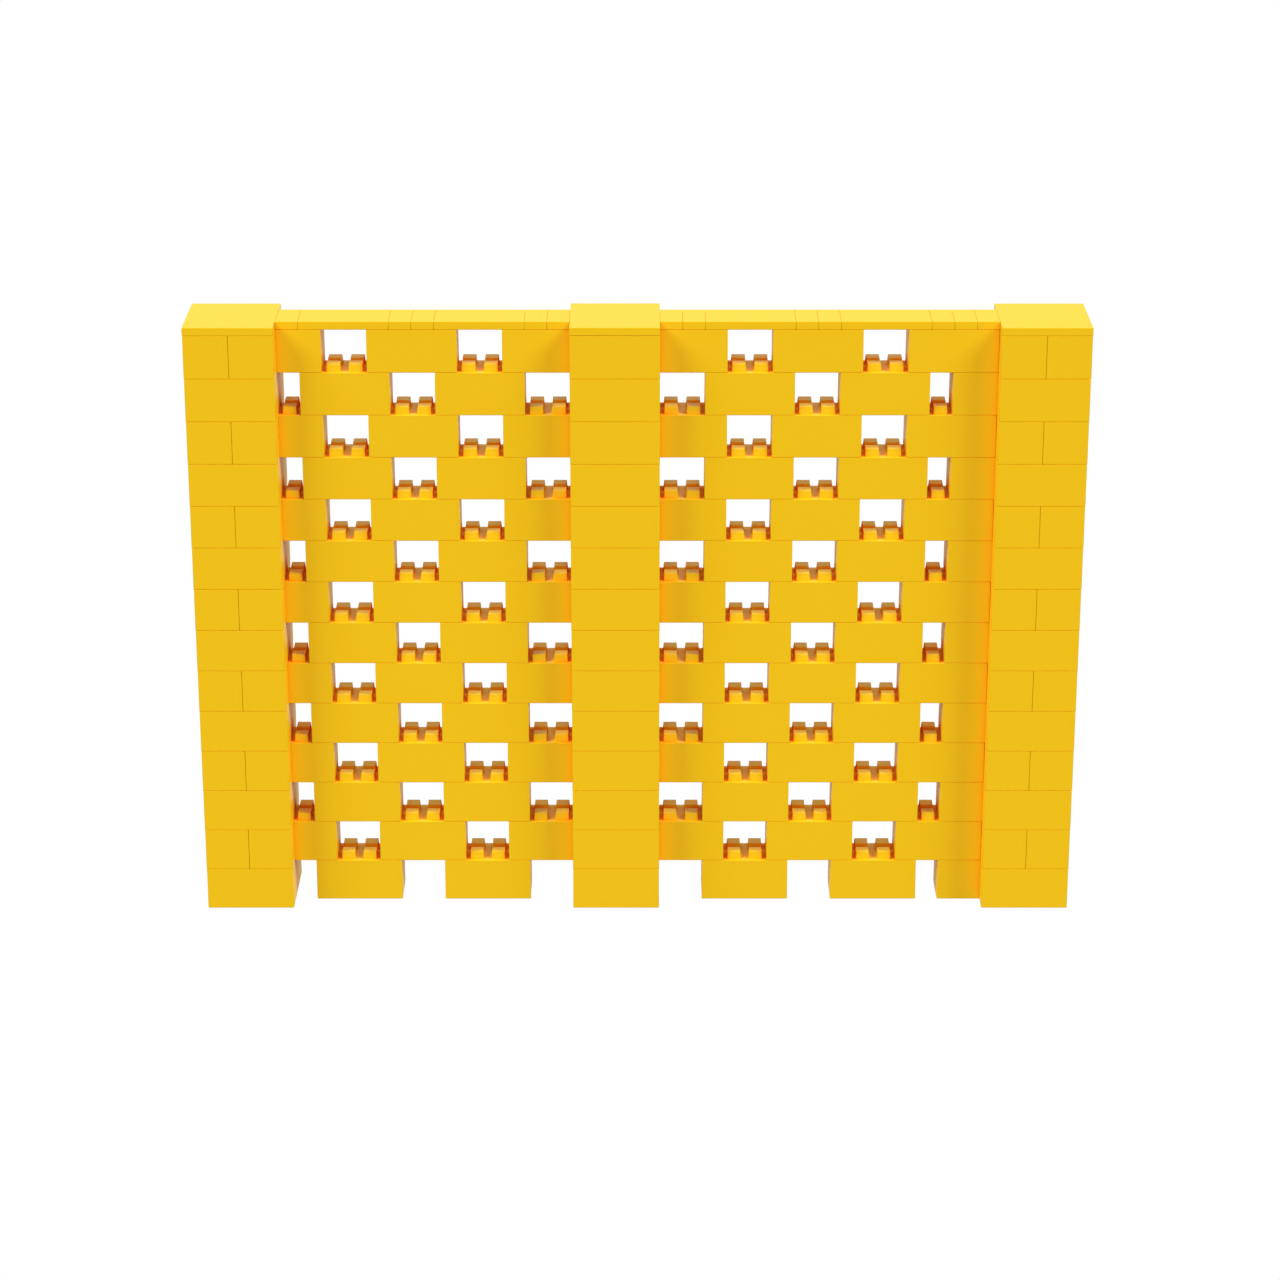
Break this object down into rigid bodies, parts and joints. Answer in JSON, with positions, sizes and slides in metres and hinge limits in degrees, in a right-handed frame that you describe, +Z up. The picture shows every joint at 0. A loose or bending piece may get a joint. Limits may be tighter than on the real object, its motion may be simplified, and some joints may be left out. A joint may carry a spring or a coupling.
{
  "type": "crowd control barrier",
  "caption": "Free-standing lattice wall of interlocking hollow plastic blocks, with three square pillars, see-through windows and flat lift-off finishing caps.",
  "frame": {"origin": "on the floor, at the middle of the bounding box's bottom face", "axes": "+X right along the wall seen from the front, -Y towards the viewer, +Z up"},
  "size_m": [3.0476, 0.3044, 2.1347],
  "materials": {
    "block_plastic": "satin",
    "cap_plastic": "satin"
  },
  "bodies": {
    "block_wall": {"centre_pillar_courses_01_02": "block_plastic", "centre_pillar_courses_03_04": "block_plastic", "centre_pillar_courses_05_06": "block_plastic", "centre_pillar_courses_07_08": "block_plastic", "centre_pillar_courses_09_10": "block_plastic", "centre_pillar_courses_11_12": "block_plastic", "centre_pillar_courses_13_14": "block_plastic", "left_pillar_courses_01_02": "block_plastic", "left_pillar_courses_03_04": "block_plastic", "left_pillar_courses_05_06": "block_plastic", "left_pillar_courses_07_08": "block_plastic", "left_pillar_courses_09_10": "block_plastic", "left_pillar_courses_11_12": "block_plastic", "left_pillar_courses_13_14": "block_plastic", "right_pillar_courses_01_02": "block_plastic", "right_pillar_courses_03_04": "block_plastic", "right_pillar_courses_05_06": "block_plastic", "right_pillar_courses_07_08": "block_plastic", "right_pillar_courses_09_10": "block_plastic", "right_pillar_courses_11_12": "block_plastic", "right_pillar_courses_13_14": "block_plastic", "wall_course_01": "block_plastic", "wall_course_02": "block_plastic", "wall_course_03": "block_plastic", "wall_course_04": "block_plastic", "wall_course_05": "block_plastic", "wall_course_06": "block_plastic", "wall_course_07": "block_plastic", "wall_course_08": "block_plastic", "wall_course_09": "block_plastic", "wall_course_10": "block_plastic", "wall_course_11": "block_plastic", "wall_course_12": "block_plastic", "wall_course_13": "block_plastic", "wall_course_14": "block_plastic"},
    "centre_pillar_cap_body": {"centre_pillar_cap": "cap_plastic"},
    "left_bay_long_cap_1_body": {"left_bay_long_cap_1": "cap_plastic"},
    "left_bay_long_cap_2_body": {"left_bay_long_cap_2": "cap_plastic"},
    "left_bay_short_cap_1_body": {"left_bay_short_cap_1": "cap_plastic"},
    "left_bay_short_cap_2_body": {"left_bay_short_cap_2": "cap_plastic"},
    "left_bay_short_cap_3_body": {"left_bay_short_cap_3": "cap_plastic"},
    "left_bay_short_cap_4_body": {"left_bay_short_cap_4": "cap_plastic"},
    "left_bay_short_cap_5_body": {"left_bay_short_cap_5": "cap_plastic"},
    "left_pillar_cap_body": {"left_pillar_cap": "cap_plastic"},
    "right_bay_long_cap_1_body": {"right_bay_long_cap_1": "cap_plastic"},
    "right_bay_long_cap_2_body": {"right_bay_long_cap_2": "cap_plastic"},
    "right_bay_short_cap_1_body": {"right_bay_short_cap_1": "cap_plastic"},
    "right_bay_short_cap_2_body": {"right_bay_short_cap_2": "cap_plastic"},
    "right_bay_short_cap_3_body": {"right_bay_short_cap_3": "cap_plastic"},
    "right_bay_short_cap_4_body": {"right_bay_short_cap_4": "cap_plastic"},
    "right_bay_short_cap_5_body": {"right_bay_short_cap_5": "cap_plastic"},
    "right_bay_short_cap_6_body": {"right_bay_short_cap_6": "cap_plastic"},
    "right_bay_short_cap_7_body": {"right_bay_short_cap_7": "cap_plastic"},
    "right_pillar_cap_body": {"right_pillar_cap": "cap_plastic"}
  },
  "joints": [
    {"name": "centre_pillar_cap_lift", "type": "slide", "parent": "block_wall", "child": "centre_pillar_cap_body", "axis": [0, 0, 1], "range_m": [0, 0.06]},
    {"name": "left_bay_long_cap_1_lift", "type": "slide", "parent": "block_wall", "child": "left_bay_long_cap_1_body", "axis": [0, 0, 1], "range_m": [0, 0.06]},
    {"name": "left_bay_long_cap_2_lift", "type": "slide", "parent": "block_wall", "child": "left_bay_long_cap_2_body", "axis": [0, 0, 1], "range_m": [0, 0.06]},
    {"name": "left_bay_short_cap_1_lift", "type": "slide", "parent": "block_wall", "child": "left_bay_short_cap_1_body", "axis": [0, 0, 1], "range_m": [0, 0.06]},
    {"name": "left_bay_short_cap_2_lift", "type": "slide", "parent": "block_wall", "child": "left_bay_short_cap_2_body", "axis": [0, 0, 1], "range_m": [0, 0.06]},
    {"name": "left_bay_short_cap_3_lift", "type": "slide", "parent": "block_wall", "child": "left_bay_short_cap_3_body", "axis": [0, 0, 1], "range_m": [0, 0.06]},
    {"name": "left_bay_short_cap_4_lift", "type": "slide", "parent": "block_wall", "child": "left_bay_short_cap_4_body", "axis": [0, 0, 1], "range_m": [0, 0.06]},
    {"name": "left_bay_short_cap_5_lift", "type": "slide", "parent": "block_wall", "child": "left_bay_short_cap_5_body", "axis": [0, 0, 1], "range_m": [0, 0.06]},
    {"name": "left_pillar_cap_lift", "type": "slide", "parent": "block_wall", "child": "left_pillar_cap_body", "axis": [0, 0, 1], "range_m": [0, 0.06]},
    {"name": "right_bay_long_cap_1_lift", "type": "slide", "parent": "block_wall", "child": "right_bay_long_cap_1_body", "axis": [0, 0, 1], "range_m": [0, 0.06]},
    {"name": "right_bay_long_cap_2_lift", "type": "slide", "parent": "block_wall", "child": "right_bay_long_cap_2_body", "axis": [0, 0, 1], "range_m": [0, 0.06]},
    {"name": "right_bay_short_cap_1_lift", "type": "slide", "parent": "block_wall", "child": "right_bay_short_cap_1_body", "axis": [0, 0, 1], "range_m": [0, 0.06]},
    {"name": "right_bay_short_cap_2_lift", "type": "slide", "parent": "block_wall", "child": "right_bay_short_cap_2_body", "axis": [0, 0, 1], "range_m": [0, 0.06]},
    {"name": "right_bay_short_cap_3_lift", "type": "slide", "parent": "block_wall", "child": "right_bay_short_cap_3_body", "axis": [0, 0, 1], "range_m": [0, 0.06]},
    {"name": "right_bay_short_cap_4_lift", "type": "slide", "parent": "block_wall", "child": "right_bay_short_cap_4_body", "axis": [0, 0, 1], "range_m": [0, 0.06]},
    {"name": "right_bay_short_cap_5_lift", "type": "slide", "parent": "block_wall", "child": "right_bay_short_cap_5_body", "axis": [0, 0, 1], "range_m": [0, 0.06]},
    {"name": "right_bay_short_cap_6_lift", "type": "slide", "parent": "block_wall", "child": "right_bay_short_cap_6_body", "axis": [0, 0, 1], "range_m": [0, 0.06]},
    {"name": "right_bay_short_cap_7_lift", "type": "slide", "parent": "block_wall", "child": "right_bay_short_cap_7_body", "axis": [0, 0, 1], "range_m": [0, 0.06]},
    {"name": "right_pillar_cap_lift", "type": "slide", "parent": "block_wall", "child": "right_pillar_cap_body", "axis": [0, 0, 1], "range_m": [0, 0.06]}
  ]
}
